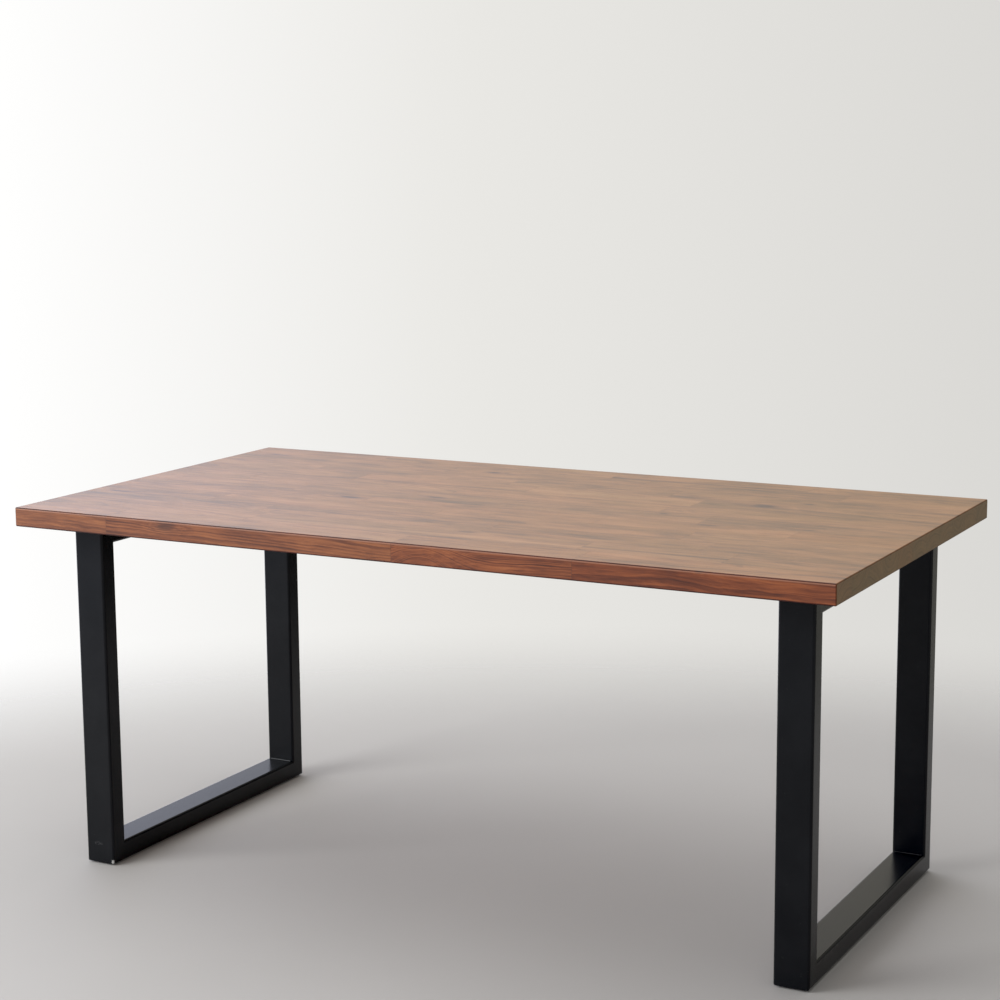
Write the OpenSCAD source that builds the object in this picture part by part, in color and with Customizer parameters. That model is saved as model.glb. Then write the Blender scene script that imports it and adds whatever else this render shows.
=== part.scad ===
// Butcher block dining table: a laminated walnut top on two closed frames of rectangular steel tube.
// Origin: on the floor under the middle of the top. +X runs along the top, +Y to the back, +Z up.

/* [Tabletop] */
// Length of the top, along X
table_l = 1600; // [1500:10:1800]
// Depth of the top, along Y
table_w = 850; // [820:10:900]
// Height of the finished top above the floor
table_h = 705; // [640:5:760]
// Thickness of the top
top_t = 36; // [30:1:45]
// Rounding of the top's edges
edge_r = 2.5; // [1:0.5:6]
// Width of an inner row of staves; the two outer rows take what is left
stave_w = 78; // [74:1:80]
// Glue line between two blocks that meet end to end
glue_gap = 0.1; // [0.05:0.05:0.3]

/* [Leg frames] */
// Wide side of the steel tube, seen from the front
tube_w = 63.5; // [50:0.5:80]
// Narrow side of the steel tube
tube_d = 38; // [30:1:50]
// Wall of the steel tube
tube_wall = 2.3; // [1.6:0.1:3.2]
// Outside corner radius of the steel tube
tube_r = 5; // [3.5:0.5:6]
// Depth of a frame over its uprights, along Y
frame_depth = 670; // [620:10:720]
// Overhang of the top past the outer face of a frame
end_overhang = 65; // [40:1:160]

/* [Mounting plates and fasteners] */
// Thickness of a mounting plate
plate_t = 4.5; // [3:0.5:8]
// Width of a mounting plate, along X
plate_w = 130; // [126:1:140]
// Length of a mounting plate, along Y
plate_l = 580; // [520:10:600]
// Corner radius of a mounting plate
plate_r = 8; // [2:1:15]
// Distance of the bolts from the tube's centre line
bolt_offset = 48; // [44:1:50]
// Width of a slotted hole, which is the clearance hole of the bolt
slot_w = 9; // [8.5:0.1:10]
// End-to-end length of a slotted hole, along Y
slot_l = 21; // [12:1:30]
// Nominal diameter of the bolts and studs
thread_d = 8; // [8:8]
// Length of a bolt under its head
bolt_l = 25; // [20:1:28]
// Outside diameter of a threaded insert
insert_d = 12; // [11:0.5:14]
// Length of a threaded insert
insert_l = 20; // [15:1:24]

/* [Glides] */
// Diameter of a glide's nylon disc
glide_d = 28; // [22:1:34]
// Height of the frames above the floor with the glides screwed fully in
glide_gap = 3; // [2.5:0.5:8]
// Length of a glide's stud above its disc
stud_l = 25; // [20:1:30]
// Distance of a glide from the outer face of its upright
glide_inset = 60; // [50:1:120]

/* [Hidden] */

$fn = 48;
LEFT = -1;
RIGHT = 1;
FRONT = -1;
BACK = 1;
eps = 1;                                   // how far a cutter runs past the face it cuts

// Rows of staves: one middle row, and the same rows in front of it and behind it
rows = 11;
middle_row = (rows + 1) / 2;
// Where the blocks of each row meet end to end, the front row first
row_joints = [
    [-590, 10, 350],
    [-340, 320, 580],
    [-370, 100, 510],
    [-520, -60, 440],
    [-250, 240, 600],
    [-440, 20, 410],
    [-600, -140, 300],
    [-400, -20, 330],
    [-540, -90, 250],
    [-280, 150, 560],
    [-480, 60, 470]
];
top_z = table_h - top_t;                   // underside of the top

// Frames
frame_x = table_l / 2 - end_overhang - tube_w / 2;
frame_z = glide_gap;                       // underside of the bottom rails
plate_z = top_z - plate_t;                 // underside of the mounting plates
frame_h = plate_z - frame_z;
vent_d = 6;                                // drain and vent hole under each bottom rail

// Fasteners
thread_clear = 0.05;                       // radial running clearance of a thread
bolt_rows = [-3 * stave_w, 0, 3 * stave_w];  // each on the middle of a row of staves
head_af = 13;
head_h = 5.3;
washer_d = 18;
washer_t = 1.6;
insert_clear = 0.05;
bore_depth = insert_l + 2;                 // blind hole for an insert, with room for glue
nut_h = 6.5;
nut_af = 13;
glide_y = frame_depth / 2 - glide_inset;
stud_hole_d = thread_d + 1;                // clearance hole in the rail's lower wall
disc_clear = 0.3;                          // between the disc and the rail above it
disc_h = glide_gap - disc_clear;
disc_edge = 0.8;                           // chamfer round the disc's foot
stud_flange_d = 14;
stud_flange_t = 1;
stud_skin = 0.8;                           // nylon under the stud's flange

// ---------- shared shapes ----------

// Rectangle with round corners, centred
module rounded_rect(w, h, r) {
    square([w - 2 * r, h], center = true);
    square([w, h - 2 * r], center = true);
    for (x = [-1, 1], y = [-1, 1])
        translate([x * (w / 2 - r), y * (h / 2 - r)])
            circle(r = r);
}

// Section of the steel tube, wide side along X
module tube_section() {
    difference() {
        rounded_rect(tube_w, tube_d, tube_r);
        rounded_rect(tube_w - 2 * tube_wall, tube_d - 2 * tube_wall, tube_r - tube_wall);
    }
}

// Tube along +Z, mitred at both ends, its long face on the plane y = 0 and its short face at y = tube_d
module mitred_tube(length) {
    intersection() {
        translate([0, tube_d / 2, 0])
            linear_extrude(length)
                tube_section();
        translate([-tube_w / 2 - eps, 0, 0])
            rotate([90, 0, 90])
                linear_extrude(tube_w + 2 * eps)
                    polygon([[0, 0], [tube_d, tube_d], [tube_d, length - tube_d], [0, length]]);
    }
}

// Puts its children at the six bolt places of one frame
module at_bolts(side, z) {
    for (x = [-bolt_offset, bolt_offset], y = bolt_rows)
        translate([side * frame_x + x, y, z])
            children();
}

// ---------- tabletop ----------

function row_y(row) = (row - middle_row) * stave_w;
function row_edge(row) = row == 0 ? -table_w / 2 : row == rows ? table_w / 2 : row_y(row) + stave_w / 2;

// The outside of the whole top, with every edge rounded
module top_envelope() {
    intersection() {
        translate([-table_l / 2 - eps, 0, top_z + top_t / 2])
            rotate([90, 0, 90])
                linear_extrude(table_l + 2 * eps)
                    rounded_rect(table_w, top_t, edge_r);
        translate([0, table_w / 2 + eps, top_z + top_t / 2])
            rotate([90, 0, 0])
                linear_extrude(table_w + 2 * eps)
                    rounded_rect(table_l, top_t, edge_r);
        translate([0, 0, top_z - eps])
            linear_extrude(top_t + 2 * eps)
                rounded_rect(table_l, table_w, edge_r);
    }
}

// One row of staves: blocks end to end, with the blind holes for the threaded inserts
module stave_row(row) {
    ends = concat([-table_l / 2 - eps], row_joints[row - 1], [table_l / 2 + eps]);
    front = row_edge(row - 1);
    back = row_edge(row);
    difference() {
        intersection() {
            top_envelope();
            for (i = [0 : len(ends) - 2])
                translate([ends[i] + glue_gap / 2, front, top_z - eps])
                    cube([ends[i + 1] - ends[i] - glue_gap, back - front, top_t + 2 * eps]);
        }
        if (len([for (y = bolt_rows) if (y > front && y < back) y]) > 0)
            for (side = [LEFT, RIGHT])
                at_bolts(side, top_z - eps)
                    cylinder(d = insert_d + 2 * insert_clear, h = bore_depth + eps);
    }
}

module stave_row_01() { color("#8d5c40") stave_row(1); }
module stave_row_02() { color("#95654a") stave_row(2); }
module stave_row_03() { color("#7f523b") stave_row(3); }
module stave_row_04() { color("#9a6d50") stave_row(4); }
module stave_row_05() { color("#875a41") stave_row(5); }
module stave_row_06() { color("#916248") stave_row(6); }
module stave_row_07() { color("#7c513c") stave_row(7); }
module stave_row_08() { color("#a07455") stave_row(8); }
module stave_row_09() { color("#8a5c44") stave_row(9); }
module stave_row_10() { color("#80563f") stave_row(10); }
module stave_row_11() { color("#93664a") stave_row(11); }

// ---------- leg frames ----------

module front_upright(side) {
    translate([side * frame_x, -frame_depth / 2, frame_z])
        mitred_tube(frame_h);
}

module back_upright(side) {
    translate([side * frame_x, frame_depth / 2, frame_z])
        mirror([0, 1, 0])
            mitred_tube(frame_h);
}

module top_rail(side) {
    translate([side * frame_x, -frame_depth / 2, plate_z])
        rotate([-90, 0, 0])
            mitred_tube(frame_depth);
}

module bottom_rail(side) {
    difference() {
        translate([side * frame_x, frame_depth / 2, frame_z])
            rotate([90, 0, 0])
                mitred_tube(frame_depth);
        for (y = [-glide_y, glide_y])
            translate([side * frame_x, y, frame_z - eps])
                cylinder(d = stud_hole_d, h = tube_wall + 2 * eps);
        translate([side * frame_x, 0, frame_z - eps])
            cylinder(d = vent_d, h = tube_wall + 2 * eps);
    }
}

module left_front_upright() { color("#26282b") front_upright(LEFT); }
module left_back_upright() { color("#1c1d1f") back_upright(LEFT); }
module left_bottom_rail() { color("#2e3033") bottom_rail(LEFT); }
module left_top_rail() { color("#232427") top_rail(LEFT); }
module right_front_upright() { color("#26282b") front_upright(RIGHT); }
module right_back_upright() { color("#1c1d1f") back_upright(RIGHT); }
module right_bottom_rail() { color("#2e3033") bottom_rail(RIGHT); }
module right_top_rail() { color("#232427") top_rail(RIGHT); }

// ---------- mounting plates ----------

module slot_outline() {
    square([slot_w, slot_l - slot_w], center = true);
    for (y = [-1, 1])
        translate([0, y * (slot_l - slot_w) / 2])
            circle(d = slot_w);
}

module mounting_plate(side) {
    translate([side * frame_x, 0, plate_z])
        linear_extrude(plate_t)
            difference() {
                rounded_rect(plate_w, plate_l, plate_r);
                for (x = [-bolt_offset, bolt_offset], y = bolt_rows)
                    translate([x, y])
                        slot_outline();
            }
}

module left_mounting_plate() { color("#303236") mounting_plate(LEFT); }
module right_mounting_plate() { color("#303236") mounting_plate(RIGHT); }

// ---------- fasteners ----------

// Hex bolt pointing up, its head's bearing face at z = 0
module hex_bolt() {
    translate([0, 0, -head_h])
        cylinder(d = head_af / cos(30), h = head_h, $fn = 6);
    cylinder(d = thread_d, h = bolt_l);
}

module flat_washer() {
    difference() {
        cylinder(d = washer_d, h = washer_t);
        translate([0, 0, -eps])
            cylinder(d = thread_d + 2 * thread_clear, h = washer_t + 2 * eps);
    }
}

module threaded_insert() {
    difference() {
        cylinder(d = insert_d, h = insert_l);
        translate([0, 0, -eps])
            cylinder(d = thread_d + 2 * thread_clear, h = insert_l + 2 * eps);
    }
}

// Hex nut welded on the inside of a rail's lower wall
module weld_nut() {
    difference() {
        cylinder(d = nut_af / cos(30), h = nut_h, $fn = 6);
        translate([0, 0, -eps])
            cylinder(d = thread_d + 2 * thread_clear, h = nut_h + 2 * eps);
    }
}

module weld_nuts(side) {
    for (y = [-glide_y, glide_y])
        translate([side * frame_x, y, frame_z + tube_wall])
            weld_nut();
}

module left_plate_bolts() { color("#55585c") at_bolts(LEFT, plate_z - washer_t) hex_bolt(); }
module right_plate_bolts() { color("#55585c") at_bolts(RIGHT, plate_z - washer_t) hex_bolt(); }
module left_plate_washers() { color("#a9adb1") at_bolts(LEFT, plate_z - washer_t) flat_washer(); }
module right_plate_washers() { color("#a9adb1") at_bolts(RIGHT, plate_z - washer_t) flat_washer(); }
module left_threaded_inserts() { color("#c2a45a") at_bolts(LEFT, top_z) threaded_insert(); }
module right_threaded_inserts() { color("#c2a45a") at_bolts(RIGHT, top_z) threaded_insert(); }
module left_weld_nuts() { color("#7d8084") weld_nuts(LEFT); }
module right_weld_nuts() { color("#7d8084") weld_nuts(RIGHT); }

// ---------- glides ----------

// Steel stud with the flange that the nylon disc is moulded round
module glide_stud(side, end) {
    translate([side * frame_x, end * glide_y, stud_skin]) {
        cylinder(d = stud_flange_d, h = stud_flange_t);
        cylinder(d = thread_d, h = disc_h - stud_skin + stud_l);
    }
}

module glide_disc(side, end) {
    difference() {
        translate([side * frame_x, end * glide_y, 0])
            rotate_extrude()
                polygon([
                    [0, 0], [glide_d / 2 - disc_edge, 0], [glide_d / 2, disc_edge],
                    [glide_d / 2, disc_h], [0, disc_h]
                ]);
        glide_stud(side, end);
    }
}

module left_front_glide_disc() { color("#1d1d1e") glide_disc(LEFT, FRONT); }
module left_back_glide_disc() { color("#1d1d1e") glide_disc(LEFT, BACK); }
module right_front_glide_disc() { color("#1d1d1e") glide_disc(RIGHT, FRONT); }
module right_back_glide_disc() { color("#1d1d1e") glide_disc(RIGHT, BACK); }
module left_front_glide_stud() { color("#9a9da1") glide_stud(LEFT, FRONT); }
module left_back_glide_stud() { color("#9a9da1") glide_stud(LEFT, BACK); }
module right_front_glide_stud() { color("#9a9da1") glide_stud(RIGHT, FRONT); }
module right_back_glide_stud() { color("#9a9da1") glide_stud(RIGHT, BACK); }

stave_row_01();
stave_row_02();
stave_row_03();
stave_row_04();
stave_row_05();
stave_row_06();
stave_row_07();
stave_row_08();
stave_row_09();
stave_row_10();
stave_row_11();
left_front_upright();
left_back_upright();
left_bottom_rail();
left_top_rail();
right_front_upright();
right_back_upright();
right_bottom_rail();
right_top_rail();
left_mounting_plate();
right_mounting_plate();
left_plate_bolts();
right_plate_bolts();
left_plate_washers();
right_plate_washers();
left_threaded_inserts();
right_threaded_inserts();
left_weld_nuts();
right_weld_nuts();
left_front_glide_disc();
left_back_glide_disc();
right_front_glide_disc();
right_back_glide_disc();
left_front_glide_stud();
left_back_glide_stud();
right_front_glide_stud();
right_back_glide_stud();
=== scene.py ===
"""Butcher block dining table: walnut top of 44 glued blocks on two closed frames of black steel tube."""

import math
import random
from types import SimpleNamespace

import bmesh
import bpy
import numpy as np
from mathutils import Matrix, Vector


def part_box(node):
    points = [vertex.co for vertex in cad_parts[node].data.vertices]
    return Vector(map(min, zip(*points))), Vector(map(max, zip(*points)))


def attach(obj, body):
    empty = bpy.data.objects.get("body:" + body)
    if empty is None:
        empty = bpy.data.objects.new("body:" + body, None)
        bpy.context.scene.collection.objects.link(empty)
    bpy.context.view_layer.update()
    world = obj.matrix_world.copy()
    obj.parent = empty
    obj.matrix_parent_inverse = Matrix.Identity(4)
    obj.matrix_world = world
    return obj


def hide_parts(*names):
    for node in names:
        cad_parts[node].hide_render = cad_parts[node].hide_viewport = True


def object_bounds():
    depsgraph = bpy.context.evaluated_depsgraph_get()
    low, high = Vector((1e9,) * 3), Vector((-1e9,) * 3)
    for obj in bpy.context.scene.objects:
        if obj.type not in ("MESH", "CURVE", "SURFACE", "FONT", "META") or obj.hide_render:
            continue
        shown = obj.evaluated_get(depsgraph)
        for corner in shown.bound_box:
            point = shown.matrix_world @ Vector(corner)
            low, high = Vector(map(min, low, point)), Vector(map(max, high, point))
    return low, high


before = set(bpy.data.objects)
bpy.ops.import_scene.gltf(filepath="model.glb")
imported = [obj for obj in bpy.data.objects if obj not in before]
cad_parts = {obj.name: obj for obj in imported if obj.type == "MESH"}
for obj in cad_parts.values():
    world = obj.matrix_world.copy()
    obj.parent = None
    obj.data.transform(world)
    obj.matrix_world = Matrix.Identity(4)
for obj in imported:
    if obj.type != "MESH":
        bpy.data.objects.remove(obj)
cad_low, cad_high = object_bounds()
TABLE = "table"
MM = 0.001


# --- camera ---


def make_camera():
    """The photograph's viewing angle, with its roll of under half a degree."""
    eye = Vector((1.8813, -3.5849, 1.4026))
    right = Vector((0.88569, 0.46422, -0.00756)).normalized()
    forward = Vector((-0.45873, 0.87248, -0.16837)).normalized()
    up = right.cross(forward).normalized()
    data = bpy.data.cameras.new("camera")
    data.sensor_width = 36
    data.lens = 79.44
    data.clip_start = 0.05
    data.clip_end = 200
    camera = add_object("camera", data)
    turn = Matrix((right, up, -forward)).transposed().to_4x4()
    camera.matrix_world = Matrix.Translation(eye) @ turn
    bpy.context.scene.camera = camera


# --- node trees ---


class Graph:
    """The node tree of a material or a world."""

    def __init__(self, owner):
        self.owner = owner
        owner.use_nodes = True
        self.tree = owner.node_tree

    def put(self, socket, value):
        if isinstance(value, bpy.types.NodeSocket):
            self.tree.links.new(value, socket)
        elif value is not None:
            socket.default_value = value

    def node(self, kind, sockets=(), **settings):
        node = self.tree.nodes.new(kind)
        for key, value in settings.items():
            setattr(node, key, value)
        for key, value in dict(sockets).items():
            self.put(node.inputs[key], value)
        return node

    def math(self, operation, *values):
        return self.node("ShaderNodeMath", enumerate(values), operation=operation).outputs[0]

    def plus(self, a, b):
        return self.math("ADD", a, b)

    def minus(self, a, b):
        return self.math("SUBTRACT", a, b)

    def times(self, a, b):
        return self.math("MULTIPLY", a, b)

    def bell(self, value, steepness):
        """1 where value is 0, and less on both sides of it."""
        return self.math("EXPONENT", self.times(self.times(value, value), -steepness))

    def vector(self, operation, *values):
        node = self.node("ShaderNodeVectorMath", enumerate(values), operation=operation)
        return node.outputs["Value" if operation == "LENGTH" else "Vector"]

    def attribute(self, name, output="Vector"):
        return self.node("ShaderNodeAttribute", attribute_name=name).outputs[output]

    def place(self, output="Object"):
        return self.node("ShaderNodeTexCoord").outputs[output]

    def face_normal(self):
        return self.split(self.node("ShaderNodeNewGeometry").outputs["True Normal"])

    def split(self, vector):
        return self.node("ShaderNodeSeparateXYZ", {0: vector}).outputs

    def join(self, x, y, z):
        return self.node("ShaderNodeCombineXYZ", {0: x, 1: y, 2: z}).outputs[0]

    def noise(self, vector, scale, detail=2.0, roughness=0.5, output="Fac"):
        sockets = {"Vector": vector, "Scale": scale, "Detail": detail, "Roughness": roughness}
        return self.node("ShaderNodeTexNoise", sockets).outputs[output]

    def stretched_noise(self, vector, scales, detail, roughness=0.5, output="Fac"):
        """Noise with its own scale along each axis."""
        return self.noise(self.vector("MULTIPLY", vector, scales), 1.0, detail, roughness, output)

    def line_noise(self, value, scale, detail):
        sockets = {"W": value, "Scale": scale, "Detail": detail}
        return self.node("ShaderNodeTexNoise", sockets, noise_dimensions="1D").outputs["Fac"]

    def fade(self, value, start, end, low=0.0, high=1.0):
        """Smooth change from low to high as value goes from start to end."""
        sockets = enumerate((value, start, end, low, high))
        return self.node("ShaderNodeMapRange", sockets, interpolation_type="SMOOTHSTEP").outputs["Result"]

    def mix(self, factor, a, b, blend="MIX"):
        sockets = {0: factor, 6: a, 7: b}
        settings = {"data_type": "RGBA", "blend_type": blend, "clamp_factor": True}
        return self.node("ShaderNodeMix", sockets, **settings).outputs[2]

    def tint(self, factor, colour, by):
        return self.mix(factor, colour, by, "MULTIPLY")

    def ramp(self, value, stops):
        node = self.node("ShaderNodeValToRGB", {0: value})
        elements = node.color_ramp.elements
        while len(elements) < len(stops):
            elements.new(0.5)
        for element, (place, colour) in zip(elements, stops, strict=True):
            element.position = place
            element.color = colour
        return node.outputs["Color"]

    def bump(self, height, distance):
        return self.node("ShaderNodeBump", {"Height": height, "Distance": distance}).outputs["Normal"]

    def finish(self, **sockets):
        for key, value in sockets.items():
            self.put(self.tree.nodes["Principled BSDF"].inputs[key.replace("_", " ")], value)
        return self.owner


def paint(name):
    return Graph(bpy.data.materials.new(name))


def rgb(r, g, b):
    return (r, g, b, 1.0)


# --- walnut ---

# Scales of the wood's figure, along the log and the two ways across it, per metre
BROAD_BANDS = (2.6, 30.0, 30.0)
PATCHES = (11.0, 62.0, 62.0)
FINE_LINES = (14.0, 300.0, 300.0)
FIBRES = (45.0, 1500.0, 1500.0)
PORES = (190.0, 3300.0, 3300.0)
CLOUDS = (6.5, 15.0, 15.0)
HUES = (4.0, 20.0, 20.0)
END_PORES = (0.0, 2600.0, 2600.0)
WANDERS = (((2.2, 9.0, 9.0), 0.020), ((9.0, 20.0, 20.0), 0.009))  # scales, reach in metres
MIDDLE = 0.5  # the middle of noise and of tone, which both run from 0 to 1
RINGS_PER_METRE = 190.0
RING_DRIFT = 5.0  # how many rings the count may run ahead
KNOT_STEEPNESS = 0.7  # how quickly a knot's pull on the grain falls off
KNOT_SPREAD = 0.012  # metres the fibres part at a knot
FRESH_WOOD = [
    (0.02, rgb(0.050, 0.015, 0.008)),
    (0.30, rgb(0.130, 0.040, 0.015)),
    (0.50, rgb(0.220, 0.074, 0.026)),
    (0.72, rgb(0.330, 0.124, 0.043)),
    (0.98, rgb(0.450, 0.205, 0.085)),
]
# The top's colour: walnut faded in the sun, and painted lighter as well for the satin sheen
FADED_AND_SHEEN_WOOD = [
    (0.02, rgb(0.085, 0.045, 0.021)),
    (0.30, rgb(0.190, 0.089, 0.036)),
    (0.50, rgb(0.320, 0.146, 0.056)),
    (0.72, rgb(0.390, 0.190, 0.079)),
    (0.98, rgb(0.450, 0.250, 0.120)),
]
FRESH_RED = rgb(1.0, 0.68, 0.50)
FADED_AND_SHEEN_RED = rgb(0.97, 0.82, 0.68)
OLIVE = rgb(0.80, 0.83, 0.73)
GREY = rgb(0.74, 0.82, 0.78)
PORE_DARK = rgb(0.035, 0.015, 0.010)
KNOT_HALO = rgb(0.085, 0.036, 0.024)
KNOT_CORE = rgb(0.026, 0.012, 0.010)
SAWN_EARLY = rgb(0.215, 0.160, 0.074)
SAWN_LATE = rgb(0.115, 0.076, 0.036)
SAWN_PORE = rgb(0.050, 0.030, 0.016)
# Painted shade on the round edges, together with the finish pooled there
EDGE_FINISH_AND_SHADE = rgb(0.25, 0.10, 0.06)
# A painted highlight along the top of the long sides
PAINTED_HIGHLIGHT_WOOD = rgb(0.42, 0.19, 0.11)
GLUE_BROWN = rgb(0.040, 0.018, 0.012)


def read_block(g):
    """What the mesh carries for each block. dress_block writes it."""
    return SimpleNamespace(
        grain=g.attribute("grain"),                   # metres along the log, and across from the pith
        look=g.split(g.attribute("look")),            # lightness, warmth and ring contrast
        knot=g.attribute("knot"),                     # place from the block's knot, in knot radii
        knot_look=g.split(g.attribute("knot_look")),  # ring bend in metres, darkness of the core
        streak=g.split(g.attribute("streak")),        # place across a colour streak, its strength
        low=g.split(g.attribute("seam_low")),         # metres to the block's lower ends
        high=g.split(g.attribute("seam_high")),       # metres to the block's upper ends
    )


def bend_grain(g, wood):
    """Lets the grain wander, and bends the rings round the knot."""
    wood.knot_far = g.vector("LENGTH", wood.knot)
    wood.near = g.bell(wood.knot_far, KNOT_STEEPNESS)
    wood.bent = wood.grain
    for scales, reach in WANDERS:
        wander = g.stretched_noise(wood.grain, scales, 2.0, output="Color")
        wander = g.vector("SUBTRACT", wander, (MIDDLE, MIDDLE, MIDDLE))
        wood.bent = g.vector("ADD", wood.bent, g.vector("MULTIPLY", wander, (0.0, reach, reach)))
    cross = g.vector("LENGTH", g.vector("MULTIPLY", wood.bent, (0.0, 1.0, 1.0)))
    wood.cross = g.plus(cross, g.times(wood.near, wood.knot_look[0]))


def grow_rings(g, wood):
    """Year rings, each of its own width. A ring darkens slowly and ends sharply."""
    drift = g.times(g.line_noise(wood.cross, 55.0, 2.0), RING_DRIFT)
    count = g.plus(g.times(wood.cross, RINGS_PER_METRE), drift)
    wood.ring = g.math("FRACT", count)
    late = g.times(g.fade(wood.ring, 0.25, 0.92), g.fade(wood.ring, 1.0, 0.93))
    year = g.line_noise(g.math("FLOOR", count), 7.3, 0.0)
    wood.late = g.times(late, g.fade(year, 0.3, 0.7, 0.35, 1.0))


def grow_fibres(g, wood):
    """Figure that runs with the fibres, from broad bands to single pores."""
    along = g.vector("ADD", wood.bent, g.join(0.0, g.times(wood.near, KNOT_SPREAD), 0.0))
    wood.broad = g.stretched_noise(along, BROAD_BANDS, 2.0, 0.5)
    wood.patch = g.stretched_noise(along, PATCHES, 3.0, 0.6)
    wood.fine = g.stretched_noise(along, FINE_LINES, 3.0, 0.6)
    wood.fibre = g.stretched_noise(along, FIBRES, 2.0, 0.6)
    pores = g.stretched_noise(along, PORES, 1.0)
    wood.pore = g.times(g.fade(pores, 0.63, 0.74), g.fade(wood.ring, 0.9, 0.1, 0.35, 1.0))
    wood.cloud = g.stretched_noise(wood.grain, CLOUDS, 3.0, 0.55)
    wood.hue = g.stretched_noise(along, HUES, 2.0)


def wood_tone(g, wood):
    """How light the wood is, from 0 to 1."""
    tone = g.plus(MIDDLE, wood.look[0])
    weights = (
        (wood.broad, 0.38),
        (wood.patch, 0.52),
        (wood.fine, 0.78),
        (wood.fibre, 0.30),
        (wood.cloud, 0.42),
    )
    for value, weight in weights:
        tone = g.plus(tone, g.times(g.minus(value, MIDDLE), weight))
    softer = g.minus(1.0, g.times(wood.face, g.fade(wood.look[2], 0.2, 0.4, 0.0, 0.55)))
    tone = g.minus(tone, g.times(g.times(wood.late, wood.look[2]), softer))
    stripe = g.bell(wood.streak[0], 1.0)
    stripe = g.times(stripe, g.fade(wood.fine, 0.25, 0.55, 0.4, 1.0))
    return g.plus(tone, g.times(stripe, wood.streak[1]))


def wood_colour(g, wood, tone):
    """The face has faded towards olive in the light and is painted lighter as a sheen; the edges keep their
    red.
    """
    fresh = g.ramp(tone, FRESH_WOOD)
    red = g.fade(wood.look[1], 0.0, 1.0)
    fresh = g.tint(g.times(red, 0.85), fresh, FRESH_RED)
    faded_and_sheen = g.ramp(tone, FADED_AND_SHEEN_WOOD)
    faded_and_sheen = g.tint(g.fade(wood.hue, 0.30, 0.78), faded_and_sheen, OLIVE)
    faded_and_sheen = g.tint(g.times(red, 0.5), faded_and_sheen, FADED_AND_SHEEN_RED)
    # Upward faces take the faded colour with its painted sheen
    colour = g.mix(wood.face, fresh, faded_and_sheen)
    grey = g.fade(wood.look[1], 0.0, -1.0)
    colour = g.tint(g.times(grey, 0.45), colour, GREY)
    return g.mix(g.times(wood.pore, 0.45), colour, PORE_DARK)


def paint_knot(g, wood, colour):
    """A dark core with a ring of darker wood round it."""
    ragged = g.plus(wood.knot_far, g.times(g.minus(wood.fine, MIDDLE), 0.9))
    core = g.times(g.fade(ragged, 0.85, 0.25), wood.knot_look[1])
    halo = g.times(g.fade(ragged, 1.7, 0.5, 0.0, 0.45), wood.knot_look[1])
    return g.mix(core, g.mix(halo, colour, KNOT_HALO), KNOT_CORE)


def paint_end_grain(g, wood, colour):
    """End grain drinks more finish, and shows its rings and open pores."""
    wood.end = g.fade(g.math("ABSOLUTE", wood.normal[0]), 0.6, 0.95)
    dot = g.fade(g.stretched_noise(wood.bent, END_PORES, 1.0), 0.60, 0.70)
    sawn = g.mix(g.times(wood.late, 0.55), SAWN_EARLY, SAWN_LATE)
    sawn = g.mix(g.times(dot, 0.55), sawn, SAWN_PORE)
    return g.mix(g.times(wood.end, 0.70), colour, sawn)


def paint_edges(g, wood, colour):
    """The round edges hold more finish and are painted darker as shade, as is the foot of each side; the
    long sides carry a painted highlight just under the top.
    """
    towards_end, towards_front, upright = (g.math("ABSOLUTE", wood.normal[axis]) for axis in range(3))
    flatness = g.math("MAXIMUM", g.math("MAXIMUM", towards_end, towards_front), upright)
    wood.round = g.fade(flatness, 0.995, 0.94)
    height = g.split(g.place())[2]
    drop = g.minus(cad_high.z, height)
    rise = g.minus(height, cad_high.z - TOP_THICK)
    long_side = g.times(g.fade(wood.normal[2], 0.32, 0.20), g.fade(towards_end, 0.35, 0.20))
    # A painted highlight a few millimetres under the top of the long sides
    highlight_band = g.times(g.fade(drop, 4.6 * MM, 3.0 * MM), long_side)
    foot_of_side = g.times(g.fade(rise, 3.5 * MM, 1.5 * MM), g.fade(upright, 0.7, 0.4))
    dark = g.math("MAXIMUM", wood.round, foot_of_side)
    dark = g.times(dark, g.minus(1.0, highlight_band))
    dark = g.times(dark, g.fade(towards_end, 0.35, 0.20, 0.45, 1.0))
    # Painted shade on the round edges and at the foot of the sides, with some finish pooled on the round
    # edges
    colour = g.tint(dark, colour, EDGE_FINISH_AND_SHADE)
    # Lays the painted highlight over the colour
    return g.mix(g.times(highlight_band, 0.70), colour, PAINTED_HIGHLIGHT_WOOD)


def paint_glue(g, wood, colour):
    """Thin dark lines between the blocks."""
    seam_low = g.math("MINIMUM", wood.low[0], wood.low[1])
    seam_high = g.math("MINIMUM", wood.high[0], wood.high[1])
    wood.glue = g.fade(g.math("MINIMUM", seam_low, seam_high), 0.35 * MM, 0.05 * MM)
    return g.mix(g.times(wood.glue, 0.60), colour, GLUE_BROWN)


def walnut():
    """Solid walnut under a satin finish."""
    g = paint("walnut")
    wood = read_block(g)
    bend_grain(g, wood)
    grow_rings(g, wood)
    grow_fibres(g, wood)
    wood.normal = g.face_normal()
    wood.face = g.fade(wood.normal[2], 0.4, 0.9)
    colour = wood_colour(g, wood, wood_tone(g, wood))
    for layer in (paint_knot, paint_end_grain, paint_edges, paint_glue):
        colour = layer(g, wood, colour)
    rough = g.plus(0.335, g.times(wood.fibre, 0.09))
    for value, weight in ((wood.pore, 0.12), (wood.end, 0.10), (wood.round, 0.40)):
        rough = g.plus(rough, g.times(value, weight))
    height = g.minus(g.times(wood.fibre, 0.3), wood.pore)
    height = g.minus(height, g.times(wood.glue, 1.2))
    return g.finish(Base_Color=colour, Roughness=rough, Normal=g.bump(height, 0.06 * MM),
                    Coat_Weight=0.14, Coat_Roughness=0.26)


# --- other materials ---


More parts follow.
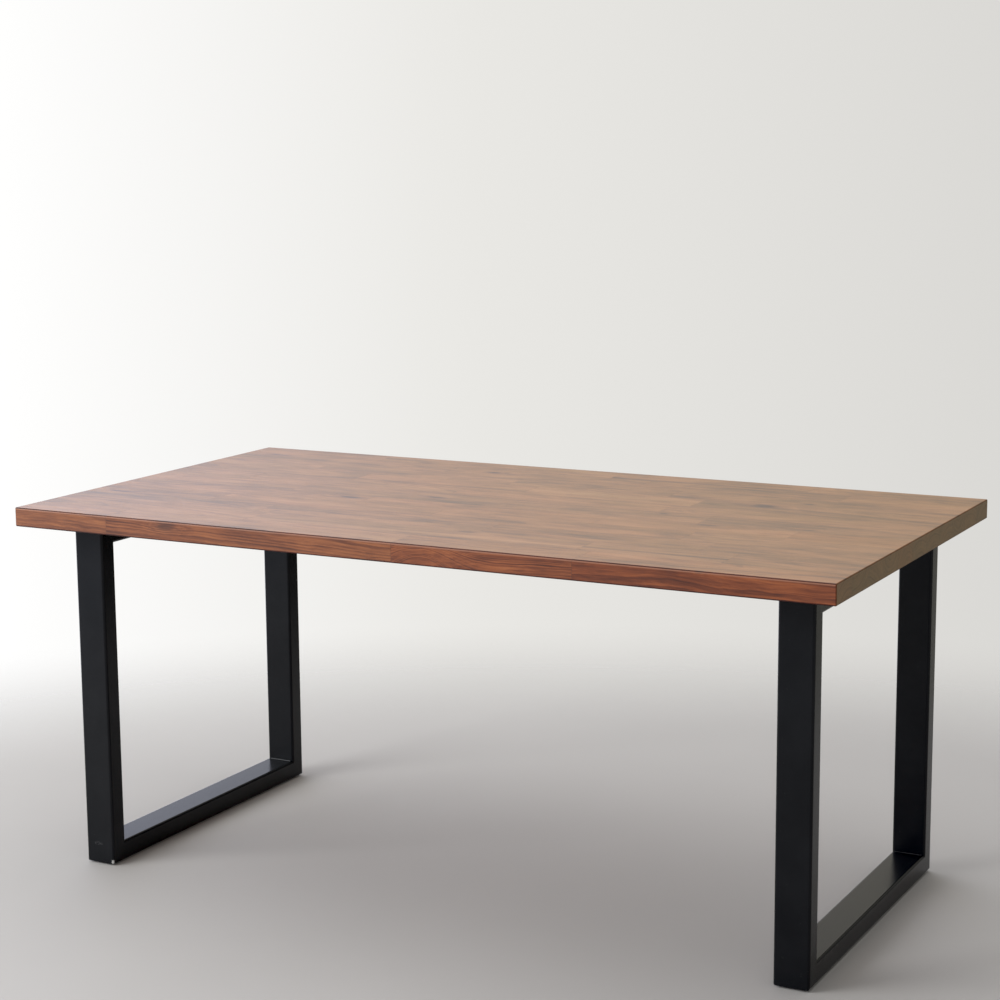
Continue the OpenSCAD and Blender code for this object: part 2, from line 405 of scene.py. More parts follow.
def powder_coat():
    """Satin black powder coat: fine orange peel, ground mitres, a chip and a scuff."""
    g = paint("powder_coat")
    place = g.place()
    seam = g.attribute("mitre", "Fac")
    chip_far = g.vector("LENGTH", g.attribute("chip"))
    scuff_far = g.vector("LENGTH", g.attribute("scuff"))
    peel = g.noise(place, 620.0, 2.0, 0.55)
    grit = g.noise(place, 2400.0, 1.0)
    cloud = g.noise(place, 9.0, 3.0, 0.6)
    dust = g.noise(place, 130.0, 4.0, 0.7)
    flakes = g.noise(place, 420.0, 3.0, 0.7)
    grinding = g.noise(place, 240.0, 1.0)

    colour = g.mix(g.fade(cloud, 0.3, 0.75), rgb(0.0080, 0.0087, 0.0104), rgb(0.0112, 0.0120, 0.0140))
    speck = g.fade(dust, 0.66, 0.74)
    colour = g.mix(g.times(speck, 0.25), colour, rgb(0.05, 0.049, 0.046))
    rub = g.times(g.fade(scuff_far, 1.0, 0.3), g.fade(g.noise(place, 700.0, 3.0), 0.5, 0.62))
    colour = g.mix(g.times(rub, 0.6), colour, rgb(0.11, 0.11, 0.11))
    ragged = g.plus(chip_far, g.times(g.minus(flakes, MIDDLE), 2.2))
    bare = g.fade(ragged, 1.0, 0.9)
    colour = g.mix(bare, colour, rgb(0.48, 0.47, 0.45))

    ground = g.fade(seam, 6 * MM, 1.5 * MM)
    line = g.fade(seam, 0.8 * MM, 0.0)
    rough = g.plus(0.20, g.times(cloud, 0.08))
    rough = g.plus(rough, g.times(rub, 0.15))
    height = g.plus(peel, g.times(grit, 0.18))
    height = g.plus(height, g.times(ground, grinding))
    height = g.minus(height, g.times(line, 0.8))
    height = g.minus(height, g.times(bare, 1.5))
    return g.finish(Base_Color=colour, Roughness=rough, Normal=g.bump(height, 0.07 * MM),
                    Specular_IOR_Level=0.22)


def metal(name, base, worn, rough):
    """Plated or bare metal with fine tool marks and an uneven tone."""
    g = paint(name)
    place = g.place()
    cloud = g.noise(place, 180.0, 3.0, 0.6)
    marks = g.noise(g.vector("MULTIPLY", place, (1.0, 1.0, 4.0)), 900.0, 2.0)
    colour = g.mix(g.fade(cloud, 0.35, 0.7), base, worn)
    roughness = g.plus(rough, g.times(marks, 0.18))
    return g.finish(Base_Color=colour, Metallic=1.0, Roughness=roughness, Normal=g.bump(marks, 0.04 * MM))


def nylon():
    """Black moulded nylon, scuffed where it stands on the floor."""
    g = paint("nylon")
    place = g.place()
    skin = g.noise(place, 1500.0, 2.0)
    wear = g.noise(place, 260.0, 3.0, 0.65)
    foot = g.fade(g.face_normal()[2], -0.6, -0.95)
    worn = g.times(foot, g.fade(wear, 0.42, 0.62))
    colour = g.mix(worn, rgb(0.016, 0.016, 0.017), rgb(0.042, 0.040, 0.037))
    rough = g.plus(0.48, g.times(worn, 0.2))
    return g.finish(Base_Color=colour, Roughness=rough, Normal=g.bump(skin, 0.05 * MM))


# --- meshes ---

SHARP_ANGLE = 35  # degrees between two faces, above which their edge stays sharp
TUBE_SHARP_ANGLE = 38
WELD_SHARP_ANGLE = 60


def add_object(name, data):
    thing = bpy.data.objects.new(name, data)
    bpy.context.scene.collection.objects.link(thing)
    return thing


def add_piece(name, mesh, material, body, nodes=(), sharp=SHARP_ANGLE):
    """Adds a mesh as a piece that rides on a body and stands for CAD nodes."""
    mesh.polygons.foreach_set("use_smooth", [True] * len(mesh.polygons))
    mesh.set_sharp_from_angle(angle=math.radians(sharp))
    mesh.materials.append(material)
    piece = add_object(name, mesh)
    piece.modifiers.new("weighted_normals", "WEIGHTED_NORMAL").keep_sharp = True
    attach(piece, body)
    if nodes:
        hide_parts(*nodes)


def baked(name, bm):
    mesh = bpy.data.meshes.new(name)
    bm.to_mesh(mesh)
    bm.free()
    return mesh


def mesh_from(name, vertices, faces):
    mesh = bpy.data.meshes.new(name)
    mesh.from_pydata([tuple(v) for v in vertices], [], faces)
    mesh.validate()
    bm = bmesh.new()
    bm.from_mesh(mesh)
    bmesh.ops.recalc_face_normals(bm, faces=bm.faces)
    bm.to_mesh(mesh)
    bm.free()
    return mesh


def cut(mesh, cutters):
    """Takes the cutters away from a mesh."""
    target = add_object("cut_target", mesh)
    helpers = []
    for cutter in cutters:
        helper = add_object("cutter", cutter)
        boolean = target.modifiers.new("cut", "BOOLEAN")
        boolean.operation = "DIFFERENCE"
        boolean.solver = "EXACT"
        boolean.object = helper
        helpers.append(helper)
    bpy.context.view_layer.update()
    evaluated = target.evaluated_get(bpy.context.evaluated_depsgraph_get())
    result = bpy.data.meshes.new_from_object(evaluated)
    for thing in [target, *helpers]:
        bpy.data.objects.remove(thing)
    return result


def circle(radius, z, segments):
    """Points round the Z axis at one height."""
    turns = [2 * math.pi * i / segments for i in range(segments)]
    return [(radius * math.cos(turn), radius * math.sin(turn), z) for turn in turns]


def lathe(name, profile, segments=64, closed=True):
    """Turns a profile of (radius, z) points about the Z axis. A radius of 0 is a pole."""
    vertices, rings = [], []
    for radius, z in profile:
        start = len(vertices)
        vertices += circle(radius, z, segments) if radius else [(0.0, 0.0, z)]
        rings.append(range(start, len(vertices)))
    pairs = list(zip(rings, rings[1:], strict=False))
    if closed:
        pairs.append((rings[-1], rings[0]))
    faces = []
    for a, b in pairs:
        faces += stitch(a, b)
    return mesh_from(name, vertices, faces)


def round_bar(name, radius, z_low, z_high, segments):
    """A plain cylinder on the Z axis."""
    profile = [(0, z_low), (radius, z_low), (radius, z_high), (0, z_high)]
    return lathe(name, profile, segments, closed=False)


def stitch(a, b):
    """Faces between two closed rings of vertices; either may be a single pole."""
    n = max(len(a), len(b))
    faces = []
    for i in range(n):
        j = (i + 1) % n
        corners = (a[i % len(a)], a[j % len(a)], b[j % len(b)], b[i % len(b)])
        faces.append(tuple(dict.fromkeys(corners)))
    return faces


def stack(name, outlines, bore=0.0):
    """A solid whose skin runs through a list of outlines. Its ends are flat or bored."""
    n, count = len(outlines[0]), len(outlines)
    vertices = [point for outline in outlines for point in outline]
    if bore:
        vertices += circle(bore, outlines[0][0][2], n)
        vertices += circle(bore, outlines[-1][0][2], n)
    rings = [range(i * n, (i + 1) * n) for i in range(count + 2)]
    first, last, bore_first, bore_last = rings[0], rings[count - 1], rings[count], rings[count + 1]
    faces = []
    for a, b in zip(rings[:count], rings[1:count], strict=False):
        faces += stitch(a, b)
    if bore:
        faces += stitch(bore_first, first) + stitch(bore_last, bore_first) + stitch(last, bore_last)
    else:
        faces += [tuple(reversed(first)), tuple(last)]
    return mesh_from(name, vertices, faces)


def joined(name, parts):
    """One mesh from several (mesh, matrix) parts."""
    bm = bmesh.new()
    for mesh, matrix in parts:
        copy = mesh.copy()
        copy.transform(matrix)
        bm.from_mesh(copy)
        bpy.data.meshes.remove(copy)
    return baked(name, bm)


def set_vectors(mesh, name, values):
    layer = mesh.attributes.new(name, "FLOAT_VECTOR", "POINT")
    layer.data.foreach_set("vector", np.asarray(values, np.float32).ravel())


def set_numbers(mesh, name, values):
    layer = mesh.attributes.new(name, "FLOAT", "POINT")
    layer.data.foreach_set("value", np.asarray(values, np.float32).ravel())


def points_of(mesh):
    co = np.zeros(len(mesh.vertices) * 3, np.float32)
    mesh.vertices.foreach_get("co", co)
    return co.reshape(-1, 3).astype(float)


def middle_of(node):
    low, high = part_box(node)
    return (low.x + high.x) / 2, (low.y + high.y) / 2


def six_middles(node, radius):
    """Middles of a CAD node's six round pieces, two across and three along."""
    low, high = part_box(node)
    xs = (low.x + radius, high.x - radius)
    ys = (low.y + radius, (low.y + high.y) / 2, high.y - radius)
    return [(x, y) for x in xs for y in ys]


# --- tabletop ---

TOP_THICK = 36 * MM
EDGE_R = 2.5 * MM
EDGE_STEPS = 6
GLUE = 0.1 * MM
INSERT_R = 6.0 * MM
BORE_R = 6.05 * MM
BORE_DEPTH = 22.0 * MM
OVERCUT = 1.0 * MM  # how far a cutter reaches past the face it starts from
ROW_JOINTS = [
    [-590, 10, 350],
    [-340, 320, 580],
    [-370, 100, 510],
    [-520, -60, 440],
    [-250, 240, 600],
    [-440, 20, 410],
    [-600, -140, 300],
    [-400, -20, 330],
    [-540, -90, 250],
    [-280, 150, 560],
    [-480, 60, 470],
]
# Blocks with a look of their own: (row, block): (lightness, warmth, ring contrast)
TONES = {
    (1, 1): (0.07, 0.35, 0.20),
    (1, 2): (0.10, 0.45, 0.29),
    (1, 3): (0.09, 0.75, 0.38),
    (1, 4): (0.04, 1.00, 0.30),
    (2, 2): (0.00, 0.10, 0.12),
    (2, 3): (0.05, 0.10, 0.12),
    (2, 4): (-0.06, 0.10, 0.12),
    (3, 3): (-0.07, 0.35, 0.12),
    (3, 4): (-0.04, 0.20, 0.12),
    (4, 2): (0.03, 0.45, 0.12),
    (4, 3): (0.05, 0.45, 0.16),
    (5, 2): (0.04, 0.50, 0.14),
    (5, 3): (0.07, 0.50, 0.12),
    (5, 4): (0.06, 0.75, 0.12),
    (6, 4): (-0.06, -0.35, 0.12),
    (8, 3): (0.04, 0.10, 0.12),
    (8, 4): (-0.05, -0.30, 0.12),
}
# Knots: (row, block): (x, y, z below the top, half length, half width, ring bend in mm, darkness)
KNOTS = {
    (1, 2): (-458, -425, 11, 30, 9, 8, 0.45),
    (1, 3): (62, -425, 22, 62, 40, 34, 0.0),
    (1, 4): (572, -425, 2, 8, 3, 2, 0.60),
    (2, 2): (80, -285, 0, 26, 10, 6, 0.45),
    (4, 1): (-735, -190, 0, 34, 9, 8, 0.75),
    (5, 1): (-290, -63, 0, 34, 11, 10, 0.85),
    (5, 3): (431, -48, 0, 26, 9, 7, 0.55),
    (6, 2): (-139, 4, 0, 30, 10, 8, 0.70),
    (6, 3): (318, 26, 0, 16, 8, 6, 0.65),
    (6, 4): (606, -20, 0, 22, 8, 6, 0.65),
    (8, 4): (452, 177, 0, 44, 20, 14, 0.75),
    (9, 4): (520, 230, 0, 17, 8, 6, 0.75),
    (10, 1): (-715, 338, 0, 42, 10, 8, 0.60),
    (10, 2): (-182, 316, 0, 17, 12, 7, 0.70),
    (11, 2): (-370, 370, 0, 24, 9, 7, 0.40),
}
NO_KNOT = (9000, 9000, 0, 30, 15, 0, 0)  # too far away to be seen
# Streaks of colour along a block: (row, block): (y, half width in mm, strength)
STREAKS = {
    (2, 2): (-324, 9, 0.24),
    (2, 3): (-320, 5, -0.30),
    (4, 2): (-150, 14, 0.10),
    (8, 2): (137, 5, -0.26),
    (8, 3): (161, 11, 0.24),
    (9, 1): (215, 16, 0.10),
    (10, 3): (330, 12, -0.10),
    (11, 3): (359, 5, -0.30),
}
NO_STREAK = (9000, 10, 0)
# A block's sides: the axis each one faces along, and which way
SIDES = {"left": (0, -1), "right": (0, 1), "front": (1, -1), "back": (1, 1), "under": (2, -1), "top": (2, 1)}


def block_mesh(name, low, high, outer):
    """A block of wood. Its edges are round where both faces are on the outside of the top."""
    bm = bmesh.new()
    bmesh.ops.create_cube(bm, size=1.0)
    size, middle = high - low, (high + low) / 2
    for vertex in bm.verts:
        vertex.co = Vector((vertex.co[i] * size[i] + middle[i] for i in range(3)))
    bm.normal_update()
    seen = [SIDES[side] for side in (*outer, "under", "top")]

    def is_outer(face):
        return any(face.normal[axis] * sign > 0.9 for axis, sign in seen)

    edges = [edge for edge in bm.edges if all(is_outer(face) for face in edge.link_faces)]
    if edges:
        bmesh.ops.bevel(bm, geom=edges, offset=EDGE_R, segments=EDGE_STEPS, profile=0.5,
                        affect="EDGES", clamp_overlap=True)
    return baked(name, bm)


def set_grain(mesh, from_middle, rng):
    """The block's place in its log. The pith runs at a slant, below or beside it."""
    side = rng.uniform(-1.0, 1.0)
    pith_y = side * rng.uniform(0.02, 0.09)
    pith_z = rng.choice((-1, 1)) * rng.uniform(0.015, 0.11)
    slant_y, slant_z = rng.uniform(-0.035, 0.035), rng.uniform(-0.045, 0.045)
    grain = from_middle.copy()
    grain[:, 1] += pith_y + grain[:, 0] * slant_y
    grain[:, 2] += pith_z + grain[:, 0] * slant_z
    grain[:, 0] += rng.uniform(-40, 40)
    set_vectors(mesh, "grain", grain)


def set_seams(mesh, points, low, high, outer):
    """How far each point is from the block's glue lines. An outer side has none."""
    far = 1.0
    corners = (("seam_low", 1, low, ("left", "front")), ("seam_high", -1, high, ("right", "back")))
    for name, sign, corner, sides in corners:
        away = sign * (points - np.array(corner))
        for axis, side in enumerate(sides):
            if side in outer:
                away[:, axis] += far
        away[:, 2] = 0
        set_vectors(mesh, name, away)


def dress_block(mesh, key, low, high, outer, rng):
    """Gives a block its grain, tone, knot, streak and glue lines."""
    points = points_of(mesh)
    ones = np.ones((len(points), 1))
    set_grain(mesh, points - np.array((low + high) / 2), rng)

    look = rng.gauss(0.0, 0.026), rng.uniform(-0.30, 0.40), rng.uniform(0.09, 0.20)
    set_vectors(mesh, "look", ones * np.array(TONES.get(key, look)))

    x, y, depth, half_long, half_wide, bend, dark = KNOTS.get(key, NO_KNOT)
    centre = np.array([x * MM, y * MM, high.z - depth * MM])
    set_vectors(mesh, "knot", (points - centre) / (np.array([half_long, half_wide, half_wide]) * MM))
    set_vectors(mesh, "knot_look", ones * np.array([bend * MM, dark, 0.0]))

    y, half_wide, strength = STREAKS.get(key, NO_STREAK)
    across = (points[:, 1:2] - y * MM) / (half_wide * MM)
    set_vectors(mesh, "streak", np.hstack([across, ones * strength, ones * 0]))
    set_seams(mesh, points, low, high, outer)


def bore_cutter(x, y, z):
    """The hole for a threaded insert. It is placed along y to a tenth of a millimetre."""
    cutter = round_bar("bore", BORE_R, z - OVERCUT, z + BORE_DEPTH, 48)
    cutter.transform(Matrix.Translation((x, round(y, 4), 0)))
    return cutter


def make_top(wood):
    rng = random.Random(20417)
    inserts = [f"{side}_threaded_inserts" for side in ("left", "right")]
    bores = [(*place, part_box(node)[0].z) for node in inserts for place in six_middles(node, INSERT_R)]
    rows = len(ROW_JOINTS)
    for row, joints in enumerate(ROW_JOINTS, 1):
        low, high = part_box(f"stave_row_{row:02d}")
        ends = [low.x, *(x * MM for x in joints), high.x]
        blocks = len(ends) - 1
        for block in range(1, blocks + 1):
            at_edge = {"left": block == 1, "right": block == blocks, "front": row == 1, "back": row == rows}
            outer = [side for side, is_outer in at_edge.items() if is_outer]
            start = ends[block - 1] + (0 if "left" in outer else GLUE / 2)
            end = ends[block] - (0 if "right" in outer else GLUE / 2)
            a, b = Vector((start, low.y, low.z)), Vector((end, high.y, high.z))
            name = f"stave_{row:02d}_block_{block}"
            mesh = block_mesh(name, a, b, outer)
            cutters = [bore_cutter(*bore) for bore in bores if a.x < bore[0] < b.x and a.y < bore[1] < b.y]
            if cutters:
                mesh = cut(mesh, cutters)
            dress_block(mesh, (row, block), a, b, outer, rng)
            add_piece(name, mesh, wood, TABLE, [f"stave_row_{row:02d}"])


# --- leg frames ---

TUBE_R = 5.0 * MM
TUBE_WALL = 2.3 * MM
CORNER_R = 1.2 * MM  # outside corner of the frame, where the mitre is ground over
CORNER_STEPS = 5
SHOULDER = 0.5 * MM  # how far from the mitre the shading of the ground corner reaches
MITRE = 45.0  # degrees
STUD_HOLE_R = 4.5 * MM
DRAIN_HOLE_R = 3.0 * MM
FAR_AWAY = ((50, 50, 50), (1, 1, 1))  # a mark too far away to be seen
BEAD_STEP = 0.45 * MM
BEAD_TAPER = 2.2 * MM
BEAD_PITCH = 2.4 * MM
BEAD_SUNK = -0.25 * MM
BEAD_ARC = 6
CORNER_WELD_LEG = 2.4 * MM
PLATE_WELD_LEG = 4.2 * MM


def rounded_loop(width, depth, radius, inset=0.0, steps=6):
    """Points round a rectangle with round corners: x across, y from 0 at the outer face."""
    radius = radius - inset
    points = []
    corners = (
        (width / 2 - inset - radius, inset + radius, -90),
        (width / 2 - inset - radius, depth - inset - radius, 0),
        (-width / 2 + inset + radius, depth - inset - radius, 90),
        (-width / 2 + inset + radius, inset + radius, 180),
    )
    for x, y, start in corners:
        for i in range(steps + 1):
            angle = math.radians(start + 90 * i / steps)
            points.append((x + radius * math.cos(angle), y + radius * math.sin(angle)))
    return points


def mitre_ring(loop, angle):
    """A tube's loop at one step round its mitred corner, from 45 degrees on the mitre to 0."""
    shoulder = SHOULDER * (1 - angle / MITRE)
    ring = []
    for x, y in loop:
        if y < CORNER_R:
            r = CORNER_R - y
            z = CORNER_R - r * math.sin(math.radians(angle)) + shoulder
            ring.append((x, CORNER_R - r * math.cos(math.radians(angle)), z))
        else:
            ring.append((x, y, y + shoulder))
    return ring


def tube_rings(loop, length):
    """The rings of a loop swept from one mitre to the other."""
    angles = [MITRE * (1 - i / CORNER_STEPS) for i in range(CORNER_STEPS + 1)]
    start = [mitre_ring(loop, angle) for angle in angles]
    middle = [(x, y, length / 2) for x, y in loop]
    end = [[(x, y, length - z) for x, y, z in ring] for ring in reversed(start)]
    return [*start, middle, *end]


def tube_mesh(name, width, depth, length, place):
    """A mitred tube, its corners ground over. It carries each point's distance to a mitre."""
    outer = tube_rings(rounded_loop(width, depth, TUBE_R), length)
    inner = tube_rings(rounded_loop(width, depth, TUBE_R, TUBE_WALL), length)
    vertices = [point for ring in outer + inner for point in ring]
    n, count = len(outer[0]), len(outer)
    numbers = [range(i * n, (i + 1) * n) for i in range(2 * count)]
    faces = []
    for i in range(count - 1):
        faces += stitch(numbers[i], numbers[i + 1])
    for i in range(count, 2 * count - 1):
        faces += stitch(numbers[i + 1], numbers[i])
    faces += stitch(numbers[count], numbers[0])
    faces += stitch(numbers[count - 1], numbers[2 * count - 1])
    mesh = mesh_from(name, vertices, faces)

    near = [SHOULDER * i / CORNER_STEPS for i in range(CORNER_STEPS + 1)]
    seams = [*near, length / 2, *reversed(near)]
    set_numbers(mesh, "mitre", np.repeat(seams * 2, n))
    mesh.transform(place)
    return mesh


def coat_marks(mesh, chip=FAR_AWAY, scuff=FAR_AWAY):
    """Where the coat is chipped or scuffed, measured in the mark's own size."""
    points = points_of(mesh)
    for name, (centre, size) in (("chip", chip), ("scuff", scuff)):
        set_vectors(mesh, name, (points - np.array(centre)) / np.array(size))


def add_coated(name, mesh, coat, nodes=(), sharp=SHARP_ANGLE):
    """Adds a black coated piece that has no mitre and no marks."""
    coat_marks(mesh)
    set_numbers(mesh, "mitre", [1.0] * len(mesh.vertices))
    add_piece(name, mesh, coat, TABLE, nodes, sharp)


def weld_bead(name, start, end, one, other, leg):
    """A fillet weld in the corner between two faces, which lie along one and other."""
    start, end, one, other = Vector(start), Vector(end), Vector(one), Vector(other)
    length = (end - start).length
    along = (end - start) / length
    count = max(24, int(length / BEAD_STEP))
    rings = []
    for i in range(count + 1):
        share = i / count
        gone = share * length
        taper = min(1.0, 0.35 + min(share, 1 - share) * length / BEAD_TAPER)
        ripple = 1 + 0.03 * math.sin(2 * math.pi * share * length / BEAD_PITCH + 2.0 * math.sin(gone * 190))
        wobble = 1 + 0.05 * math.sin(gone * 310) * math.sin(gone * 127)
        reach = leg * taper * ripple * wobble
        centre = start + along * gone
        rings.append([centre + (one + other) * BEAD_SUNK, *bead_arc(centre, one, other, reach)])
    return stack(name, rings)


def bead_arc(centre, one, other, reach):
    """The bead's skin, with its two edges sunk into the faces."""
    points = []
    for i in range(BEAD_ARC + 1):
        angle = math.pi / 2 * i / BEAD_ARC
        bulge = 1.0 if i in (0, BEAD_ARC) else 0.80 + 0.06 * math.sin(2 * angle)
        point = centre + one * (reach * math.cos(angle) * bulge) + other * (reach * math.sin(angle) * bulge)
        if i == 0:
            point += other * BEAD_SUNK
        if i == BEAD_ARC:
            point += one * BEAD_SUNK
        points.append(point)
    return points


def frame_size(side):
    """What a leg frame's tubes and welds are placed by."""
    rail_low, rail_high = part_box(f"{side}_bottom_rail")
    up_low, up_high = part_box(f"{side}_front_upright")
    return SimpleNamespace(
        x=(up_low.x + up_high.x) / 2,
        right=up_high.x,
        width=up_high.x - up_low.x,
        depth=up_high.y - up_low.y,
        tall=up_high.z - up_low.z,
        reach=rail_high.y - rail_low.y,
        front=rail_low.y,
        back=rail_high.y,
        under=up_low.z,
        over=up_high.z,
    )


def drill_rail(mesh, side, size):
    """The bottom rail's holes for the two glide studs, and its drain hole."""
    cutters = []
    holes = [(y, STUD_HOLE_R) for y in glide_ys(side)]
    holes.append((0.0, DRAIN_HOLE_R))
    for y, radius in holes:
        hole = round_bar("hole", radius, size.under - OVERCUT, size.under + TUBE_WALL + OVERCUT, 40)
        hole.transform(Matrix.Translation((size.x, y, 0)))
        cutters.append(hole)
    return cut(mesh, cutters)


def make_tubes(side, size, coat):
    quarter = Matrix.Rotation(math.radians(90), 4, "X")
    flip_y = Matrix.Scale(-1, 4, (0, 1, 0))
    front_foot = Matrix.Translation((size.x, size.front, size.under))
    front_head = Matrix.Translation((size.x, size.front, size.over))
    back_foot = Matrix.Translation((size.x, size.back, size.under))
    tubes = {
        "front_upright": (size.tall, front_foot),
        "back_upright": (size.tall, back_foot @ flip_y),
        "top_rail": (size.reach, front_head @ quarter.inverted()),
        "bottom_rail": (size.reach, back_foot @ quarter),
    }
    chip_place = (size.right - 3 * MM, size.front, size.under + 4.5 * MM)
    chip = (chip_place, (2.6 * MM, 5 * MM, 3.4 * MM))
    scuff_place = (size.x - 4 * MM, size.front, size.under + 38 * MM)
    scuff = (scuff_place, (13 * MM, 20 * MM, 5 * MM))
    for name, (length, place) in tubes.items():
        node = f"{side}_{name}"
        mesh = tube_mesh(node + "_tube", size.width, size.depth, length, place)
        if name == "back_upright":
            mesh.flip_normals()
        if name == "bottom_rail":
            mesh = drill_rail(mesh, side, size)
        marks = (chip, scuff) if node in ("left_front_upright", "left_bottom_rail") else ()
        coat_marks(mesh, *marks)
        add_piece(node + "_tube", mesh, coat, TABLE, [node], TUBE_SHARP_ANGLE)


def weld_corners(side, size, coat):
    """Welds in the four inside corners, which can't be ground flush."""
    half = size.width / 2 - TUBE_R
    left, right = size.x - half, size.x + half
    for level, z, z_way in (("bottom", size.under + size.depth, 1), ("top", size.over - size.depth, -1)):
        for end, y, y_way in (("front", size.front + size.depth, 1), ("back", size.back - size.depth, -1)):
            name = f"{side}_{level}_{end}_weld"
            ways = (0, y_way, 0), (0, 0, z_way)
            mesh = weld_bead(name, (left, y, z), (right, y, z), *ways, CORNER_WELD_LEG)
            add_coated(name, mesh, coat, sharp=WELD_SHARP_ANGLE)


def glide_ys(side):
    """Where along y the side's two glides stand."""
    return [middle_of(f"{side}_{end}_glide_disc")[1] for end in ("front", "back")]


# --- mounting plates and fasteners ---

SLOT_R = 4.5 * MM
SLOT_HALF = 6.0 * MM  # from a slot's middle to the centre of its round end
PLATE_R = 8.0 * MM
PLATE_BEVEL = 0.5 * MM
PLATE_WELD_LONG = 36 * MM
PLATE_WELD_IN = 1.2 * MM  # how far in from the tube's side the weld's corner lies
PLATE_WELD_YS = (-0.20, -0.07, 0.07, 0.20)
WASHER_R = 9.0 * MM
WASHER_HOLE_R = 4.2 * MM
WASHER_BEVEL = 0.25 * MM
M8_R = 4 * MM
M8_ROOT_R = 3.35 * MM
M8_PITCH = 1.25 * MM
M8_FLATS = 13 * MM  # across the flats of the head or nut
M8_BORE_R = 4.05 * MM
INSERT_ROOT_R = 4.9 * MM
INSERT_PITCH = 3.2 * MM
SHANK_IN_HEAD = 0.2 * MM
HEX_STEPS = 72


def bolt_places(side):
    return six_middles(f"{side}_plate_washers", WASHER_R)


def slot_cutter(x, y, z_low, z_high):
    radius = SLOT_R - 0.001 * MM  # just under half the slot's width, so that no two points meet
    outline = rounded_loop(2 * SLOT_R, 2 * (SLOT_HALF + SLOT_R), radius, steps=12)
    start = y - SLOT_HALF - SLOT_R
    return stack("slot", [[(x + px, start + py, z) for px, py in outline] for z in (z_low, z_high)])


def plate_mesh(name, low, high, slots):
    """A flat plate with round corners, bevelled edges and slots."""
    width, length = high.x - low.x, high.y - low.y
    mid_x, start = (low.x + high.x) / 2, (low.y + high.y) / 2 - length / 2
    levels = (
        (PLATE_BEVEL, low.z),
        (0, low.z + PLATE_BEVEL),
        (0, high.z - PLATE_BEVEL),
        (PLATE_BEVEL, high.z),
    )
    rings = []
    for inset, z in levels:
        loop = rounded_loop(width, length, PLATE_R, inset, steps=8)
        rings.append([(mid_x + px, start + py, z) for px, py in loop])
    mesh = stack(name, rings)
    return cut(mesh, [slot_cutter(x, y, low.z - OVERCUT, high.z + OVERCUT) for x, y in slots])


def thread_ring(radius, root, pitch, z0, z1, z, around):
    """A threaded rod's outline at one height, tapered to its root at z1."""
    cone = min(1.0, max(0.0, (z1 - z) / (0.8 * pitch)))
    ring = []
    for i in range(around):
        phase = ((z - z0) / pitch - i / around) % 1.0
        tooth = max(0.0, min(1.0, 2.6 * (0.5 - abs(phase - 0.5)) - 0.1))
        r = root + (radius - root) * cone * tooth
        angle = 2 * math.pi * i / around
        ring.append((r * math.cos(angle), r * math.sin(angle), z))
    return ring


def thread_mesh(name, radius, root, pitch, z0, z1, bore=0.0, around=24, per_turn=8):
    """A rod or sleeve with a helical thread outside, chamfered at its far end."""
    count = int((z1 - z0) / pitch * per_turn)
    outlines = []
    for i in range(count + 1):
        z = z0 + (z1 - z0) * i / count
        outlines.append(thread_ring(radius, root, pitch, z0, z1, z, around))
    return stack(name, outlines, bore)


def hex_mesh(name, z_low, z_high, bore=0.0, chamfer_top=False):
    """A hexagon head or nut, with its corners turned off at 30 degrees at one end."""
    face_r = 0.475 * M8_FLATS
    slope = math.tan(math.radians(30))
    turns = [2 * math.pi * i / HEX_STEPS for i in range(HEX_STEPS)]
    hexagon = [M8_FLATS / 2 / math.cos(math.radians(math.degrees(turn) % 60 - 30)) for turn in turns]

    def outline(radii, heights):
        places = zip(radii, turns, heights, strict=True)
        return [(r * math.cos(turn), r * math.sin(turn), z) for r, turn, z in places]

    end, way = (z_high, -1) if chamfer_top else (z_low, 1)
    flat = outline([face_r] * HEX_STEPS, [end] * HEX_STEPS)
    cone = outline(hexagon, [end + way * (r - face_r) * slope for r in hexagon])
    plain = outline(hexagon, [z_low if chamfer_top else z_high] * HEX_STEPS)
    outlines = [plain, cone, flat] if chamfer_top else [flat, cone, plain]
    return stack(name, outlines, bore)


def make_plate(side, coat):
    low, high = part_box(f"{side}_mounting_plate")
    name = f"{side}_mounting_plate_slotted"
    mesh = plate_mesh(name, low, high, bolt_places(side))
    add_coated(name, mesh, coat, [f"{side}_mounting_plate"])


def weld_plate(side, size, coat):
    """Short welds between the plate and the sides of the top rail."""
    parts = []
    for sign in (-1, 1):
        x = size.x + sign * (size.width / 2 - PLATE_WELD_IN)
        for y in PLATE_WELD_YS:
            start, end = (x, y - PLATE_WELD_LONG / 2, size.over), (x, y + PLATE_WELD_LONG / 2, size.over)
            bead = weld_bead("bead", start, end, (sign, 0, 0), (0, 0, -1), PLATE_WELD_LEG)
            parts.append((bead, Matrix.Identity(4)))
    name = f"{side}_plate_welds"
    add_coated(name, joined(name, parts), coat, sharp=WELD_SHARP_ANGLE)


def washer_mesh(low, high):
    flat_r = WASHER_R - WASHER_BEVEL
    rim = [(flat_r, low), (WASHER_R, low + WASHER_BEVEL), (WASHER_R, high - WASHER_BEVEL), (flat_r, high)]
    return lathe("washer", [(WASHER_HOLE_R, low), *rim, (WASHER_HOLE_R, high)])


